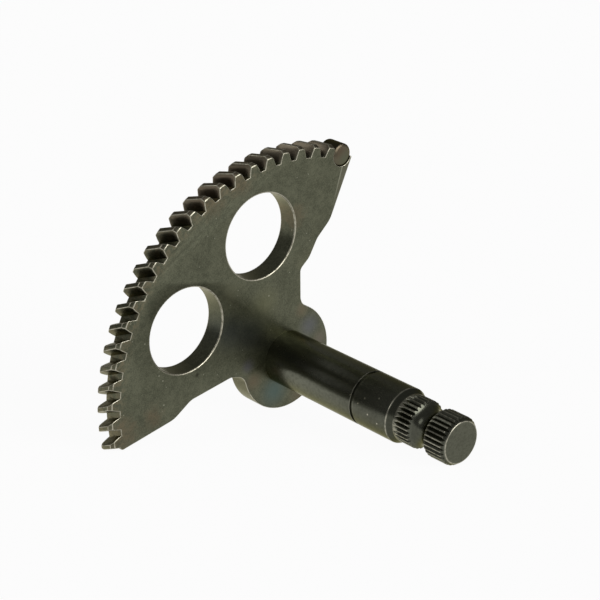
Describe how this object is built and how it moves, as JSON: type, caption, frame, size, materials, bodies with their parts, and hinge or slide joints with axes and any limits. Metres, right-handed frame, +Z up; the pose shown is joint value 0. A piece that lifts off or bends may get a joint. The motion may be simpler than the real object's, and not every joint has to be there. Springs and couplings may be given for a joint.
{
  "type": "kickstart shaft",
  "caption": "Kickstart shaft: a toothed steel quadrant with two large holes and a stop pin, on a turned shaft with a serrated end for the kick lever.",
  "frame": {"origin": "on the shaft's axis, in the front face of the quadrant plate, which is the side the shaft stands out of", "axes": "the part as it lies on a flat surface: +Z up from that surface, -Y the way the shaft's free end points, dipping a little, +X across the quadrant, so that the teeth lie up and to the left of the shaft seen from its free end"},
  "size_m": [0.0899, 0.086, 0.0866],
  "materials": {
    "plate_steel": "heat-treated steel, matt olive grey with bright worn edges",
    "shaft_steel": "ground steel, dark oxide with a half gloss",
    "pin_steel": "ground steel, dark grey"
  },
  "bodies": {
    "root": {"sector_plate": "plate_steel", "kick_shaft": "shaft_steel", "stop_pin": "pin_steel"}
  },
  "joints": []
}
